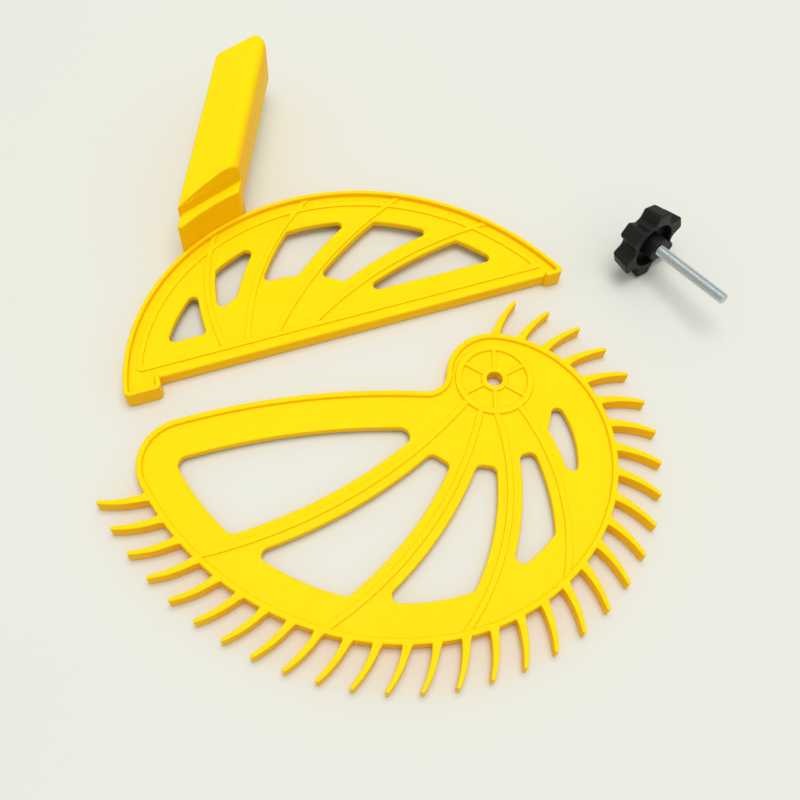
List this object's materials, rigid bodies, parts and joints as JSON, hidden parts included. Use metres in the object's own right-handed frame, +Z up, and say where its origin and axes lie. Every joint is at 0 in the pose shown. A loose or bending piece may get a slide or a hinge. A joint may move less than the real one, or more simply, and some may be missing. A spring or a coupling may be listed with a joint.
{
  "type": "table saw safety set",
  "caption": "Moulded spiral featherboard with curved feathers, a half-moon push block with an offset handle, and a star-knob clamp screw, laid out on a bench.",
  "frame": {"origin": "middle of the laid-out set at bench level", "axes": "+Z up from the bench, +Y away from the viewer of the picture, +X to the viewer's right"},
  "size_m": [0.3009, 0.3452, 0.0439],
  "materials": {
    "yellow_plastic": "satin injection-moulded yellow",
    "black_plastic": "satin injection-moulded black",
    "zinc_steel": "bright zinc plate"
  },
  "bodies": {
    "push_block": {"push_block": "yellow_plastic"},
    "featherboard": {"featherboard": "yellow_plastic"},
    "clamp_screw": {"star_knob": "black_plastic", "clamp_bolt": "zinc_steel"}
  },
  "joints": [
    {"name": "featherboard_swing", "type": "hinge", "parent": "push_block", "child": "featherboard", "pos_m": [0.0353, -0.0108, 0.004], "axis": [0, 0, 1], "range_deg": [-4, 42]},
    {"name": "clamp_screw_turn", "type": "hinge", "parent": "push_block", "child": "clamp_screw", "pos_m": [0.1154, 0.0725, 0.0204], "axis": [0.677, -0.7209, 0.1479], "continuous": true}
  ]
}
